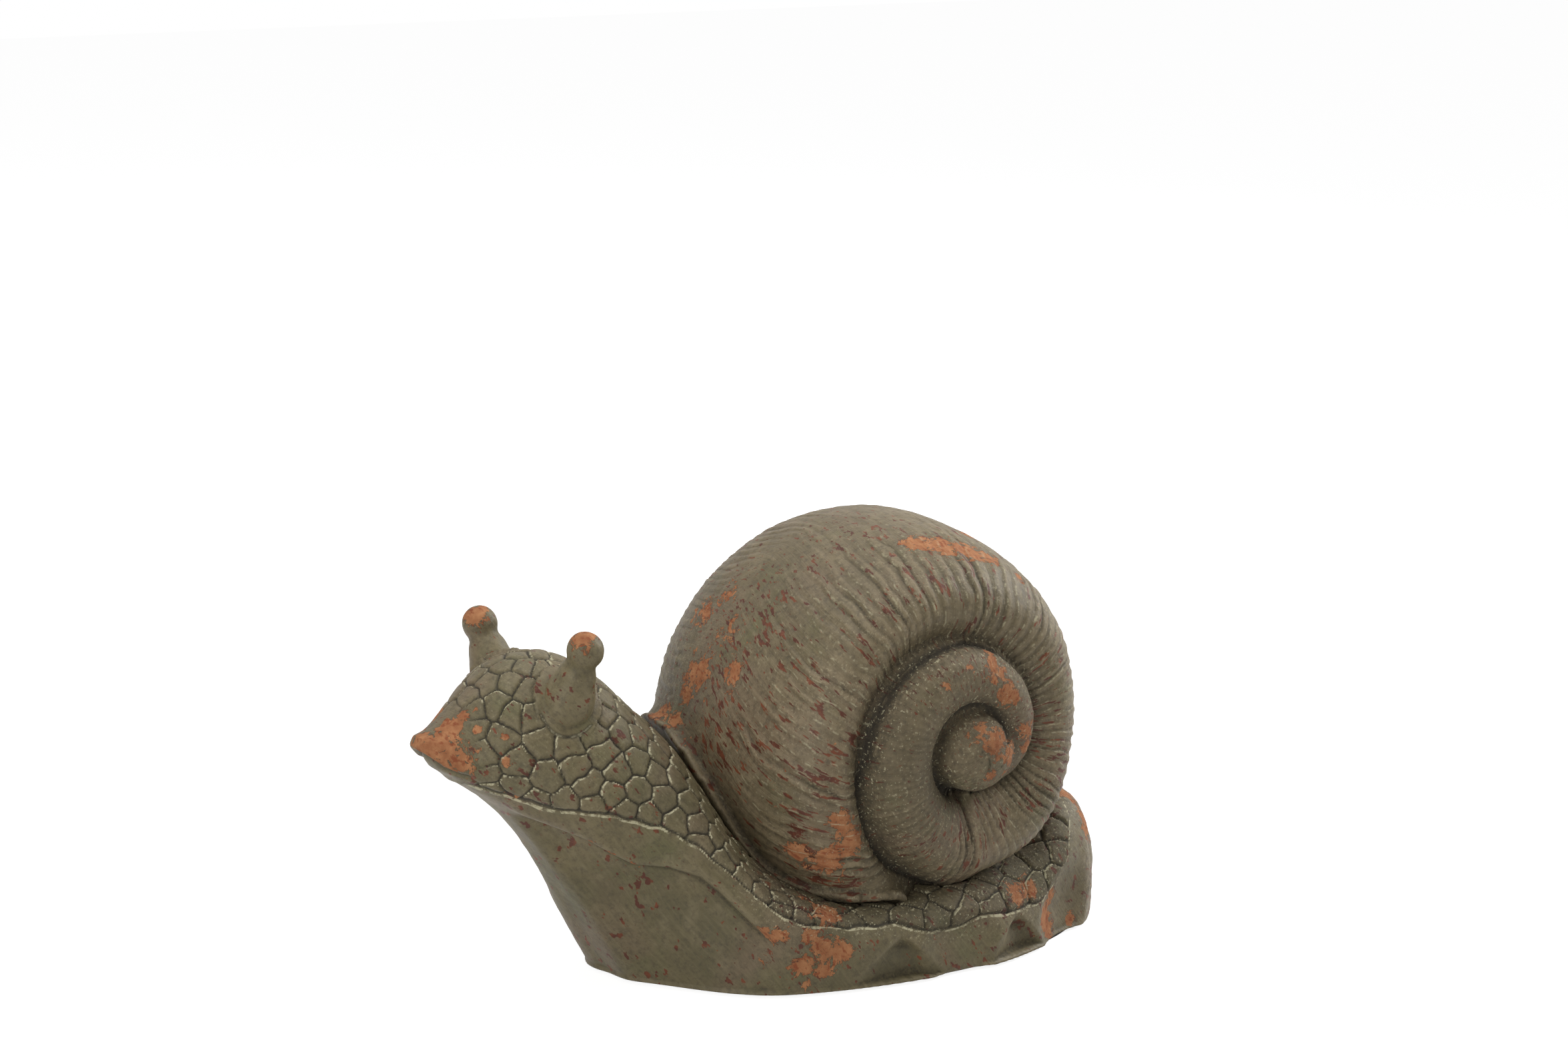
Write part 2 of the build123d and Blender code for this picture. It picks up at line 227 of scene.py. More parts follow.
def drum(target, place, radius, low, high):
    """Adds an upright drum that fills a round hole."""
    made = bmesh.ops.create_cone(
        target, cap_ends=True, segments=96, depth=(high - low) * MM,
        radius1=radius * MM, radius2=radius * MM,
    )
    middle = Vector((place[0], place[1], 0.5 * (low + high)))
    bmesh.ops.translate(target, verts=made["verts"], vec=middle * MM)


def clay(name, nodes, voxel, rounds, fill):
    """One even mesh round the given solids, with their hollows filled."""
    source = bmesh.new()
    for name_of_solid in nodes:
        copy_of(name_of_solid, source)
    fill(source)
    mesh = bpy.data.meshes.new(name)
    source.to_mesh(mesh)
    source.free()
    piece = bpy.data.objects.new(name, mesh)
    bpy.context.scene.collection.objects.link(piece)
    remesh = piece.modifiers.new("even", "REMESH")
    remesh.mode = "VOXEL"
    remesh.voxel_size = voxel * MM
    smooth = piece.modifiers.new("soft", "SMOOTH")
    smooth.factor = 0.5
    smooth.iterations = rounds
    graph = bpy.context.evaluated_depsgraph_get()
    even = bpy.data.meshes.new_from_object(piece.evaluated_get(graph))
    bpy.data.objects.remove(piece)
    bpy.data.meshes.remove(mesh)
    even.name = name
    return even


def points_of(mesh):
    co = np.zeros(len(mesh.vertices) * 3)
    mesh.vertices.foreach_get("co", co)
    return co.reshape(-1, 3) / MM


def normals_of(mesh):
    no = np.zeros(len(mesh.vertices) * 3)
    mesh.vertices.foreach_get("normal", no)
    return no.reshape(-1, 3)


def set_points(mesh, p):
    mesh.vertices.foreach_set("co", (p * MM).ravel())
    mesh.update()


def evened(mesh, p, weight, rounds):
    """The points evened out where the weight says so, as a wet finger does on clay."""
    ends = np.zeros(len(mesh.edges) * 2, np.int32)
    mesh.edges.foreach_get("vertices", ends)
    a, b = ends.reshape(-1, 2).T
    p = p.copy()
    size = len(p)
    count = np.maximum(np.bincount(a, minlength=size) + np.bincount(b, minlength=size), 1)
    for _ in range(rounds):
        mean = [
            (np.bincount(a, p[b, k], size) + np.bincount(b, p[a, k], size)) / count for k in range(3)
        ]
        p += 0.6 * weight[:, None] * (np.stack(mean, axis=1) - p)
    return p


SMALL_RELIEF = 0.28   # mm that count as fully standing out, within a few mesh points
LARGE_RELIEF = 1.3    # the same, over a wider stretch


def standing(mesh):
    """How far each point stands out of its neighbourhood, -1 in hollows to 1 on crests."""
    p = points_of(mesh)
    n = normals_of(mesh)
    every = np.ones(len(p))
    close = evened(mesh, p, every, 5)
    wide = evened(mesh, close, every, 35)
    small = ((p - close) * n).sum(axis=1)
    large = ((close - wide) * n).sum(axis=1)
    return np.clip(small / SMALL_RELIEF + large / LARGE_RELIEF, -1.0, 1.0)


def mark(mesh, name, values):
    """Stores a value per point that the materials read."""
    kind = "FLOAT_VECTOR" if values.ndim == 2 else "FLOAT"
    layer = mesh.attributes.new(name, kind, "POINT")
    layer.data.foreach_set("vector" if values.ndim == 2 else "value", values.astype(np.float32).ravel())


def shown(name, mesh, keep, body, slot, material, *nodes):
    """A piece made of the faces whose points are kept, shaded as if the mesh was whole."""
    normals = normals_of(mesh)
    part = mesh.copy()
    layer = part.attributes.new("whole_normal", "FLOAT_VECTOR", "POINT")
    layer.data.foreach_set("vector", normals.astype(np.float32).ravel())
    if not keep.all():
        cut = bmesh.new()
        cut.from_mesh(part)
        cut.faces.ensure_lookup_table()
        lost = [f for f in cut.faces if not keep[f.verts[0].index]]
        bmesh.ops.delete(cut, geom=lost, context="FACES")
        cut.to_mesh(part)
        cut.free()
    part.shade_smooth()
    whole = np.zeros(len(part.vertices) * 3, np.float32)
    part.attributes["whole_normal"].data.foreach_get("vector", whole)
    part.normals_split_custom_set_from_vertices(whole.reshape(-1, 3).tolist())
    part.attributes.remove(part.attributes["whole_normal"])
    part.materials.clear()
    part.materials.append(material)
    part.name = name
    piece = bpy.data.objects.new(name, part)
    bpy.context.scene.collection.objects.link(piece)
    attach(piece, body)
    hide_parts(*nodes)
    return piece


# ---- worn places: point on the surface, radius, strength ----------------------------
WORN_SHELL = [
    # top, toward the tail
    ((10.0, -52.0, 188.0), 8.0, 0.9), ((20.0, -58.0, 187.0), 9.0, 1.0), ((30.0, -62.0, 183.0), 9.0, 1.0),
    ((40.0, -64.0, 179.0), 7.0, 0.85), ((50.0, -36.0, 184.0), 8.0, 0.8), ((52.0, -72.0, 170.0), 4.0, 0.8),
    # front edge over the lip
    ((-72.0, 1.0, 129.0), 10.0, 0.85), ((-69.0, -24.0, 134.0), 7.0, 0.9), ((-57.0, 17.0, 153.0), 9.0, 0.72),
    ((-53.0, 7.0, 160.0), 8.0, 0.7), ((-75.0, 3.0, 120.0), 6.0, 0.85), ((-62.0, -8.0, 148.0), 9.0, 0.62),
    ((-36.0, -62.0, 158.0), 2.6, 1.0),
    # second whorl and the round start
    ((23.0, -96.0, 136.0), 6.5, 0.9), ((22.0, -92.0, 143.0), 5.0, 0.85), ((27.0, -97.0, 126.0), 6.5, 1.0),
    ((38.0, -96.0, 108.0), 5.0, 1.0), ((39.0, -96.0, 100.0), 4.5, 0.9), ((11.0, -100.0, 112.0), 6.5, 1.05),
    ((17.0, -99.0, 106.0), 7.0, 1.05), ((27.0, -99.0, 99.0), 5.5, 1.0), ((30.0, -98.0, 92.0), 5.0, 0.9),
    ((16.0, -99.0, 91.0), 3.5, 0.9), ((-14.0, -92.0, 124.0), 2.4, 0.95), ((-19.0, -90.0, 110.0), 2.0, 0.95),
    ((-5.0, -94.0, 133.0), 2.6, 0.9), ((8.0, -95.0, 140.0), 2.2, 0.9), ((-10.0, -96.0, 96.0), 1.8, 0.9),
    # low at the front
    ((-48.0, -80.0, 75.0), 6.5, 1.0), ((-44.0, -79.0, 66.0), 7.5, 1.0), ((-52.0, -72.0, 57.0), 7.5, 1.05),
    ((-60.0, -62.0, 60.0), 6.5, 1.0), ((-44.0, -74.0, 47.0), 3.2, 1.0),
    # rim of the lip
    ((-80.0, 18.0, 109.0), 7.0, 0.95), ((-79.0, 6.0, 108.0), 5.0, 0.85), ((-80.0, -6.0, 102.0), 4.0, 0.7),
    # far side
    ((20.0, 88.0, 130.0), 10.0, 0.8), ((-30.0, 70.0, 150.0), 9.0, 0.75), ((60.0, 66.0, 92.0), 11.0, 0.85),
    ((88.0, 20.0, 130.0), 10.0, 0.8), ((96.0, -4.0, 108.0), 8.0, 0.8),
]
WORN_SKIN = [
    # snout
    ((-211.0, -3.0, 119.0), 6.0, 1.1), ((-205.0, -10.0, 118.0), 7.5, 1.1),
    ((-200.0, -8.0, 126.0), 6.0, 1.0), ((-195.0, -8.0, 130.0), 4.0, 0.9),
    ((-200.0, -16.0, 112.0), 6.5, 1.05), ((-206.0, 8.0, 119.0), 5.5, 0.9),
    ((-197.0, 10.0, 127.0), 4.0, 0.9), ((-192.0, -17.0, 125.0), 2.2, 1.0),
    ((-190.0, -12.0, 133.0), 1.6, 1.0), ((-189.0, -8.0, 138.0), 1.5, 1.0),
    ((-183.0, -25.0, 122.0), 1.9, 1.0), ((-185.0, -28.0, 112.0), 2.1, 1.0),
    # eye stalks
    ((-156.0, -42.0, 166.0), 6.5, 1.2), ((-149.0, -40.0, 167.0), 5.0, 1.1),
    ((-165.0, 34.0, 163.0), 6.5, 1.2),
    ((-159.0, 35.0, 165.0), 5.0, 1.0), ((-153.0, -37.0, 130.0), 2.0, 0.9), ((-168.0, 6.0, 134.0), 3.5, 0.9),
    # neck
    ((-150.0, -38.0, 74.0), 2.4, 0.9), ((-142.0, -41.0, 69.0), 2.0, 1.0), ((-133.0, -45.0, 62.0), 2.4, 1.0),
    ((-133.0, -44.0, 35.0), 1.8, 1.0), ((-111.0, -58.0, 42.0), 1.8, 1.0),
    # near side of the foot
    ((-57.0, -79.0, 38.0), 7.0, 1.1), ((-60.0, -70.0, 43.0), 3.5, 0.9), ((-86.0, -74.0, 31.0), 4.0, 1.1),
    ((-80.0, -77.0, 30.0), 4.5, 1.05), ((-67.0, -81.0, 29.0), 4.0, 1.1), ((-61.0, -82.0, 23.0), 5.5, 1.1),
    ((-53.0, -85.0, 20.0), 6.0, 1.1), ((-84.0, -72.0, 18.0), 4.0, 0.95), ((-69.0, -80.0, 15.0), 5.5, 1.0),
    ((-60.0, -82.0, 13.0), 5.0, 0.95), ((-66.0, -79.0, 7.0), 3.5, 0.8),
    # rear corner, tail
    ((43.0, -85.0, 31.0), 6.0, 0.95), ((52.0, -83.0, 31.0), 5.0, 1.0), ((64.0, -78.0, 14.0), 6.0, 1.0),
    ((69.0, -75.0, 8.0), 6.0, 1.05), ((72.0, -73.0, 20.0), 4.5, 0.9), ((88.0, -67.0, 6.0), 3.5, 0.9),
    ((109.0, -44.0, 53.0), 9.0, 0.95), ((103.0, -56.0, 47.0), 8.0, 0.95), ((99.0, -48.0, 58.0), 7.0, 0.9),
    ((121.0, -12.0, 50.0), 8.0, 0.9), ((112.0, 30.0, 55.0), 9.0, 0.85),
    # far side
    ((-60.0, 82.0, 22.0), 8.0, 0.9), ((20.0, 91.0, 14.0), 8.0, 0.85), ((-160.0, 40.0, 96.0), 6.0, 0.8),
    ((80.0, 72.0, 18.0), 9.0, 0.9), ((-110.0, 56.0, 40.0), 5.0, 0.8),
]


WORN_REACH = 2.1      # the wear ends at this many radii


def worn(p, spots):
    """How far the paint is rubbed through at each point, from a list of spots."""
    wear = np.zeros(len(p))
    for place, radius, strength in spots:
        gap = np.linalg.norm(p - np.array(place), axis=1)
        wear = np.maximum(wear, strength * (1.0 - ease(gap, 0.0, WORN_REACH * radius)))
    return wear


# ---- shell ----------------------------------------------------------------------------
def coil(p):
    """Turn of the coil, share of the way out from the seam, distance from the seam, on the last whorl."""
    dx = p[:, 0] - AXIS_X
    dz = p[:, 2] - AXIS_Z
    r = np.hypot(dx, dz)
    turn = np.arctan2(-dx, dz) / (2.0 * math.pi)
    face = p[:, 1] < FACE_Y
    for _ in range(2):
        inside = face & (r < along(turn, SEAM)) & (turn > SEAM[0][0])
        turn = np.where(inside, turn - 1.0, turn)
    seam_r = along(turn, SEAM)
    seam_y = along(turn, SEAM, 2)
    outer = turn > LAST_WHORL_TURN
    section = np.arctan2(r - seam_r - 2.0, -p[:, 1] * (80.0 / -seam_y)) / (0.5 * math.pi)
    width = np.maximum(along(turn + 1.0, SEAM) - seam_r, 4.0)
    share = np.where(outer, np.clip(section, 0.0, 2.0), 0.55 * unit((r - seam_r) / width))
    to_seam = np.hypot(r - seam_r, np.where(outer, p[:, 1] - seam_y, 0.0))
    to_seam += 30.0 * (1.0 - ease(turn, *APEX_FADE))
    next_turn = turn + 1.0
    to_next = np.where(next_turn < SEAM_END, np.abs(along(next_turn, SEAM) - r), FAR)
    to_next += 30.0 * (1.0 - ease(next_turn, *APEX_FADE))
    to_seam = np.minimum(to_seam, np.where(face, to_next, FAR))
    return turn, share, to_seam, outer


def growth(turn, share):
    """Turn at which the rib through a point starts at the seam: ribs sweep back as they run out."""
    sweep = 1.0 - (1.0 - unit(share)) ** 1.5
    start = turn
    for _ in range(4):
        start = turn + (RIB_SWEEP[0] + RIB_SWEEP[1] * ease(start, -0.05, 0.46)) * sweep
    return start


def ribs(p, turn, share, outer):
    """Start and count of the rib at each point, its height, and how whole it is."""
    start = growth(turn, share)
    count = RIBS_PER_TURN * (start + 0.0080 * grain(p, 24.0, 1) + 0.0030 * grain(p, 8.0, 2))
    middle = 0.04 + 0.34 * (1.0 - ease(turn, -0.02, 0.16))
    last = np.maximum(hill(share, 0.0, 0.60), middle) + 0.70 * ease(share, 1.10, 1.40)
    inner = 0.30 + 0.25 * ease(-np.abs(turn + 0.55), -0.22, -0.05)
    height = np.where(outer, last, inner) * (0.70 + 0.50 * grain(p, 15.0, 3))
    flat = np.zeros(len(p))
    each_rib = np.stack([count * 1.3, turn * 4.0, flat], axis=1)
    along_rib = np.stack([count * 6.0, share * 16.0, flat], axis=1)
    whole = (0.75 + 0.5 * grain(along_rib, 6.0, 4)) * (0.75 + 0.45 * grain(each_rib, 1.0, 8))
    return start, count, height, whole


def carve_shell(mesh):
    """Ribs, seam and lip of the shell. Returns the turn of each point and whether it is on the lip."""
    p = points_of(mesh)
    gap, way, off = to_line(p, LIP_LINE)
    lip_r = along(way, LIP_RADIUS)
    past_lip = gap - lip_r
    back = off @ np.array(SHELL_SIDE)
    on_lip = (past_lip < 0.9) & (back < lip_r + 2.0)

    # the clay is smoothed behind the lip and on the far side before it is carved
    hollow = (1.0 - ease(past_lip, 7.0, 15.0)) * ease(back, 2.5, 6.0)
    set_points(mesh, evened(mesh, p, np.maximum(hollow, ease(p[:, 1], 25.0, 50.0)), 110))
    p = points_of(mesh)
    n = normals_of(mesh)

    turn, share, to_seam, outer = coil(p)
    start, count, height, whole = ribs(p, turn, share, outer)
    height = height * ease(to_seam, 0.0, 3.5) * ease(past_lip, 0.0, 9.0)
    ridge = np.cos(2.0 * math.pi * count)
    crest = np.sign(ridge) * np.abs(ridge) ** 0.75
    fine = np.cos(2.0 * math.pi * 2.37 * count + 1.0)
    near = hill(share, 0.0, 0.60)
    face = p[:, 1] < -30.0
    groove = np.where(face, hill(to_seam, 0.0, SEAM_HALF_WIDTH), 0.0)
    crumb = hill(to_seam, 0.0, 5.5) * face
    low_rim = hill(p[:, 2], SHELL_FLOOR + 12.0, 9.0)
    under_lip = (1.0 - ease(past_lip, 0.5, 3.0)) * (1.0 - ease(back, -3.0, 2.0))
    front = ease(-p[:, 0], 40.0, 75.0) * ease(share, 0.95, 1.3)
    outward = (off * (p - np.array(CORE))).sum(axis=1) > 0.0

    lift = RIB_HEIGHT * height * whole * (0.48 * crest + 0.13 * fine - 0.12)
    lift -= SEAM_DEPTH * groove
    lift += LIP_CREST * hill(back, 0.0, 1.5) * (past_lip < 1.5) * outward
    lift -= LIP_UNDERCUT * hill(back, -4.0, 2.5) * (past_lip < 2.0)
    lift += 0.30 * crumb * grain(p, 2.4, 5)
    lift += 0.34 * rough(p, 13.0, 6) + 0.08 * grain(p, 2.4, 9)
    lift += 0.16 * front * grain(p, 2.8, 10)
    p = p + n * (lift - 0.35)[:, None]
    set_points(mesh, p)

    # painted shade: darker along the seam, low on the shell by the foot, under the lip, and a little over
    # the inner whorls
    painted_shade = 0.72 * hill(to_seam, 0.0, 4.0) * face + 0.4 * low_rim + 0.4 * under_lip + 0.22 * (turn < -0.5)
    gritty = 0.9 * crumb + 0.5 * front + 0.45 * height * near + 0.4 * low_rim + 0.4 * ~outer
    # painted shade: the seam's groove and the valleys between the ribs are darkened
    mark(mesh, "groove", unit(0.9 * groove + 0.75 * height * whole * unit(-ridge) ** 2))
    mark(mesh, "dust_and_highlight", np.zeros(len(p)))
    mark(mesh, "painted_shade", unit(painted_shade))
    mark(mesh, "crumb", unit(gritty))
    mark(mesh, "wear", worn(p, WORN_SHELL))
    mark(mesh, "high", standing(mesh))
    mark(mesh, "stroke", np.stack([start * 560.0, share * 90.0, p[:, 1] * 0.1], axis=1))
    mark(mesh, "rib", np.stack([count, np.clip(height * whole, 0.0, 1.6), near * outer], axis=1))
    return turn, on_lip


# ---- skin of the head, neck and foot ---------------------------------------------------
PLATE_WIDTH = 10.6
PLATE_SPACING = 0.93  # least distance of two plates' middles, in widths


def plate_size(p):
    """Width of the carved plates in mm: less on the head's top and the low neck, more by the shell."""
    size = PLATE_WIDTH - 1.5 * ease(p[:, 2], 118.0, 140.0)
    return size - 1.8 * ease(p[:, 0], -100.0, -75.0) + 4.0 * ease(p[:, 0], -68.0, -50.0)


def plate_seeds(p, region):
    """Middles of the carved plates: spread at random, then evened twice."""
    random = np.random.default_rng(SEED)
    spots = p[region]
    order = random.permutation(len(spots))
    size = plate_size(spots)
    free = np.ones(len(spots), bool)
    seeds = []
    for k in order:
        if free[k]:
            seeds.append(spots[k])
            free &= np.linalg.norm(spots - spots[k], axis=1) > PLATE_SPACING * size[k]
    seeds = np.array(seeds)
    for _ in range(2):
        owner = nearest(spots, seeds)[0]
        owned = [spots[owner == k] for k in range(len(seeds))]
        seeds = np.array([group.mean(axis=0) for group in owned if len(group)])
    return seeds


BLOCK = 20000    # points that are compared with all the seeds at once


def nearest(p, seeds):
    """Nearest seed of each point and its distance to the line between the two nearest."""
    first = np.zeros(len(p), int)
    edge = np.zeros(len(p))
    for low in range(0, len(p), BLOCK):
        block = p[low:low + BLOCK]
        gap = np.linalg.norm(block[:, None, :] - seeds[None, :, :], axis=2)
        two = np.argpartition(gap, 1, axis=1)[:, :2]
        d = np.take_along_axis(gap, two, axis=1)
        swap = d[:, 0] > d[:, 1]
        two[swap] = two[swap][:, ::-1]
        d = np.sort(d, axis=1)
        between = np.linalg.norm(seeds[two[:, 0]] - seeds[two[:, 1]], axis=1)
        first[low:low + BLOCK] = two[:, 0]
        edge[low:low + BLOCK] = (d[:, 1] ** 2 - d[:, 0] ** 2) / (2.0 * between)
    return first, edge


def stalk_share(p):
    """Distance of each point from the nearer stalk's line, and height along it in mm."""
    out = np.full(len(p), FAR)
    up = np.full(len(p), -FAR)
    for root, tip in STALKS:
        a = np.array(root)
        d = np.array(tip) - a
        d = d / np.linalg.norm(d)
        h = (p - a) @ d
        gap = np.linalg.norm(p - a - np.outer(h, d), axis=1)
        near = gap < out
        out[near] = gap[near]
        up[near] = h[near]
    return out, up


def neck_fold(x, z, side):
    """Lift of the neck: a flat band below the border, then a soft step into the hollow flank."""
    above = z - along(x, FOLD)
    on_neck = ease(x, -186.0, -168.0) * (1.0 - ease(x, -92.0, -76.0)) * ease(side, 6.0, 20.0)
    dip = ease(-above, -1.5, 5.0) * (1.0 - ease(-above, 8.0, 36.0))
    return on_neck * (FOLD_RISE * hill(above, 2.0, 4.0) - FOLD_DIP * dip)


def foot_edge(x, z, side):
    """Lift of the foot's edge: scoops pointed at the border, crisp toward the tail, a swell between."""
    lift = 2.6 * hill(x, 9.0, 15.0) * hill(z, 12.0, 14.0) * ease(side, 60.0, 75.0)
    for middle, top in SCOOPS:
        reach = 0.3 + 1.1 * (top - z)
        u = np.clip((x - middle) / np.maximum(reach, 1.0), -1.0, 1.0)
        deep = (1.0 - u ** 2) * (1.0 + 0.7 * u) * ease(reach, 0.0, 9.0) * (reach > 0.0)
        lift -= SCOOP_DEPTH * deep * ease(side, 55.0, 70.0)
    return lift


def mouth(x, z):
    """Lift of the mouth, a slit with the upper lip above it and a small lower lip, and the slit alone."""
    above = z - along(x, MOUTH)
    at_mouth = ease(-x, 194.0, 200.0)
    slit = at_mouth * hill(above, 0.0, 0.9)
    lips = at_mouth * (0.9 * hill(above, 3.0, 2.0) - 1.2 * hill(above, -5.0, 3.0))
    return lips - MOUTH_CUT * slit, slit


def carve_skin(mesh):
    """Plates, folds, mouth and foot. Returns which points are on an eye stalk."""
    p = points_of(mesh)
    below = along(p[:, 0], BORDER) - p[:, 2]
    foot_side = ease(p[:, 0], -100.0, -85.0) * ease(p[:, 2], FELT_T + 0.5, FELT_T + 6.0)
    set_points(mesh, evened(mesh, p, ease(below, 1.0, 6.0) * foot_side, 30))
    p = points_of(mesh)
    n = normals_of(mesh)
    x, z = p[:, 0], p[:, 2]
    side = np.abs(p[:, 1])
    warped = p + 0.9 * np.stack([grain(p, 5.0, seed) for seed in (21, 22, 23)], axis=1)
    over = warped[:, 2] - along(warped[:, 0], BORDER)
    over = over * (0.78 + 0.22 * ease(x, -90.0, -60.0))
    out, up = stalk_share(p)
    stalk = (out < 13.5) & (up > 4.0)
    tail = ease(x, *TAIL_X)

    # plates
    under_shell = (x > -70.0) & (side < 40.0)
    region = (over > -1.0) & ~stalk & (x < 100.0) & (x > SNOUT_X) & ~under_shell
    seeds = plate_seeds(p, region)
    owner, edge = nearest(warped, seeds)
    plated = ease(over, -0.3, 0.5) * (1.0 - tail) * (1.0 - ease(-x, 188.0, -SNOUT_X))
    plated = plated * (1.0 - ease(up, 1.0, 5.0) * (out < 14.0))
    cut = hill(edge, 0.0, PLATE_CUT_HALF_WIDTH) * plated
    dome = 1.0 - (1.0 - unit(edge / 2.4)) ** 2
    bordered = (1.0 - tail) * ease(x, SNOUT_X, SNOUT_X + 8.0)
    border = hill(over, 0.0, 0.8) * bordered
    ledge = hill(over, -1.15, 0.50) * bordered
    collar = hill(out, STALK_R, 0.8) * (up > -8.0) * (up < 10.0) * (z < 139.0)
    lift = PLATE_DOME * (dome - 0.6) * plated - PLATE_CUT * cut - BORDER_CUT * border - COLLAR_CUT * collar
    lift -= 0.8 * ease(-over, 0.0, 2.0) * (1.0 - tail) * (x > -195.0)
    lift += 0.25 * plated * grain(seeds[owner] * 3.0, 2.0, 26)

    # thicker, rounder root of the eye stalks
    root = 3.0 * hill(up, 19.5, 8.5) - 0.7 * ease(up, 29.0, 34.0)
    lift += root * (out < 15.0) * (z > 120.0)

    lips, slit = mouth(x, z)
    lift += neck_fold(x, z, side) + foot_edge(x, z, side) + lips
    lift += 0.36 * rough(p, 17.0, 24) + 0.07 * grain(p, 2.4, 27)
    lift += 0.60 * tail * rough(p, 6.0, 30)
    clear_of_felt = ease(z, FELT_T, FELT_T + 2.5)
    p = p + n * ((lift - 0.25) * clear_of_felt)[:, None]
    p[:, 2] = np.maximum(p[:, 2], FELT_T)
    set_points(mesh, p)

    # painted highlight with pale dust on the upper edges of the plates, the side that faces up
    upper = ease((warped - seeds[owner]) @ np.array([-0.35, 0.0, 0.94]), -1.0, 3.0)
    rim_highlight_and_dust = hill(edge, 0.75, 0.42) * plated * upper
    contact = hill(np.clip(z - 42.0, 0.0, FAR), 0.0, 14.0) * (over > 0) * (x > -85.0)
    crust = hill(over, -4.0, 4.5) * ease(x, -105.0, -80.0)
    gritty = 0.75 * contact + 0.15 * plated + 0.4 * border + 0.6 * tail + 0.6 * crust
    # painted shade in the carved lines: between the plates, along the border, round the stalks and in the
    # mouth
    mark(mesh, "groove", unit(cut + 0.9 * border + 0.8 * collar + slit))
    # pale dust and painted highlight on the plates' upper edges, pale dust along the border and round the
    # stalks
    mark(mesh, "dust_and_highlight", unit(0.85 * rim_highlight_and_dust + 1.1 * ledge + 0.5 * collar))
    # painted shade: under the shell where the skin meets it, along the plate edges and along the border
    mark(mesh, "painted_shade", unit(0.5 * contact + 0.22 * hill(edge, 0.0, 2.0) * plated + 0.3 * border))
    mark(mesh, "crumb", unit(gritty))
    mark(mesh, "wear", worn(p, WORN_SKIN) * (1.0 - slit))
    mark(mesh, "high", standing(mesh))
    mark(mesh, "stroke", np.stack([0.78 * x + 0.62 * z, -0.62 * x + 0.78 * z, p[:, 1]], axis=1))
    return stalk


# ---- materials -----------------------------------------------------------------------------
def node(tree, kind, settings=None, **links):
    """Adds a node, sets it, and feeds its inputs by name or place from values or sockets."""
    made = tree.nodes.new(kind)
    for key, value in (settings or {}).items():
        setattr(made, key, value)
    for key, value in links.items():
        by_place = key[0] == "i" and key[1:].isdigit()
        socket = made.inputs[int(key[1:]) if by_place else key.replace("_", " ")]
        if isinstance(value, bpy.types.NodeSocket):
            tree.links.new(value, socket)
        else:
            socket.default_value = value
    return made


WARM_GREY = "73624F"       # paint where more of the clay's warmth comes through
MOSS = "5A5A3A"            # paint where it lies thick
STROKE_SHADOW = "453E30"   # between the hairs of the brush
PORE_SHADOW = "40392C"
RUST_DARK = "4A2013"
RUST = "6C3821"
SHADE_TONE = "302C25"            # painted shade left in creases, hollows, under the lip and under the shell
# painted shade in the carved grooves
GROOVE_SHADE_TONE = "26231D"
CLAY_DARK = "8C5A3B"
CLAY = "AA7852"
CLAY_RED = "7C4128"
CHIP_EDGE = "353028"       # thin dark line round a worn patch
# pale dust, and painted highlight on the plates' upper edges and the rib crests
DUST_AND_HIGHLIGHT_TONE = "C4BD9C"
PAINT_IOR = 1.33
PAINT_ROUGH = 0.52
BARE_ROUGH = 0.85
WEAR_LEVEL = 0.58          # paint is gone above this


class Shader:
    """A new material and the few kinds of nodes that it is made of. Sizes are in mm."""

    def __init__(self, name):
        self.material = bpy.data.materials.new(name)
        self.material.use_nodes = True
        self.tree = self.material.node_tree
        self.tree.nodes.clear()
        where = node(self.tree, "ShaderNodeTexCoord").outputs["Object"]
        self.mm = node(
            self.tree, "ShaderNodeVectorMath", {"operation": "SCALE"}, i0=where, Scale=1000.0
        ).outputs[0]

    def mark(self, name, kind="Fac"):
        """What the carving stored at each point under this name."""
        return node(self.tree, "ShaderNodeAttribute", {"attribute_name": name}).outputs[kind]

    def noise(self, size, detail=3.0, roughness=0.55, distortion=0.0, vector=None):
        place = self.mm if vector is None else vector
        return node(
            self.tree, "ShaderNodeTexNoise", None, Vector=place, Scale=1.0 / size, Detail=detail,
            Roughness=roughness, Distortion=distortion,
        ).outputs["Fac"]

    def strokes(self, sizes, detail, roughness=0.55):
        """Noise whose bumps have these lengths across and along the strokes of the brush."""
        scale = [1.0 / size for size in sizes]
        vector = node(
            self.tree, "ShaderNodeMapping", None, Vector=self.mark("stroke", "Vector"), Scale=scale
        ).outputs[0]
        return self.noise(1.0, detail, roughness, vector=vector)

    def sharp(self, source, low, high, floor=0.0, top=1.0):
        """Floor where the source is below low, top where it is above high."""
        return node(
            self.tree, "ShaderNodeMapRange", {"clamp": True}, i0=source, i1=low, i2=high, i3=floor, i4=top
        ).outputs[0]

    def maths(self, operation, a, b=0.0):
        return node(self.tree, "ShaderNodeMath", {"operation": operation}, i0=a, i1=b).outputs[0]

    def times(self, a, b):
        return self.maths("MULTIPLY", a, b)

    def more(self, a, b):
        return self.maths("ADD", a, b)

    def blend(self, share, a, b):
        """Tone a, turning into b where the share says so. Tones are sockets or sRGB hex."""
        a, b = (linear(tone) if isinstance(tone, str) else tone for tone in (a, b))
        return node(self.tree, "ShaderNodeMix", {"data_type": "RGBA"}, i0=share, i6=a, i7=b).outputs[2]

    def finish(self, tone, roughness, height, bump, ior=1.5):
        """Puts the surface together; bump is the strength and the depth in metres."""
        relief = node(
            self.tree, "ShaderNodeBump", None, Height=height, Strength=bump[0], Distance=bump[1]
        ).outputs[0]
        surface = node(
            self.tree, "ShaderNodeBsdfPrincipled", None, Base_Color=tone, Roughness=roughness, IOR=ior,
            Normal=relief,
        )
        node(self.tree, "ShaderNodeOutputMaterial", None, Surface=surface.outputs[0])
        return self.material


